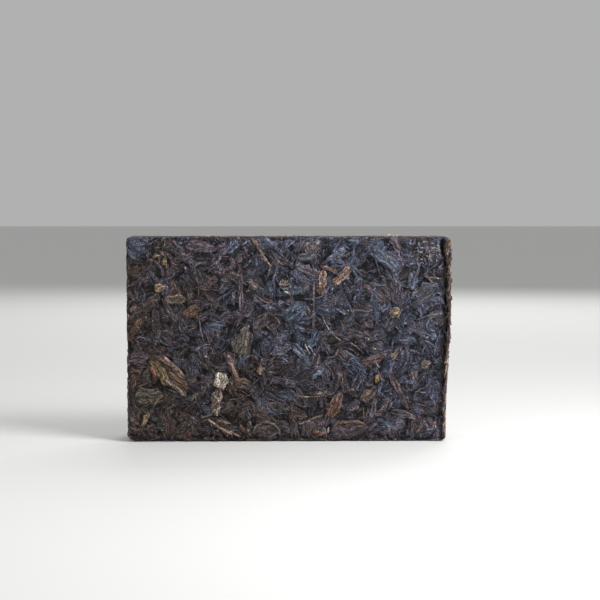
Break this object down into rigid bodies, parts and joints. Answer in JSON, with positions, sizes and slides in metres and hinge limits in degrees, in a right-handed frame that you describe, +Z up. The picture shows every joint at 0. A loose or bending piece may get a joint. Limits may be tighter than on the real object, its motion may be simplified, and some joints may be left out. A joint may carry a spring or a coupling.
{
  "type": "pu erh tea brick",
  "caption": "Rectangular brick of pressed pu erh tea leaves, standing on a long narrow side, with a crumbled upright edge.",
  "frame": {"origin": "middle of the footprint, on the surface the brick stands on", "axes": "+X along the brick's length, towards its crumbled end as seen from the front; +Y through its thickness, from the front face to the back face; +Z up"},
  "size_m": [0.1422, 0.025, 0.09],
  "materials": {
    "pressed_tea": "dry pressed leaves, dark brown with a faint blue-grey sheen"
  },
  "bodies": {
    "root": {"tea_brick": "pressed_tea"}
  },
  "joints": []
}
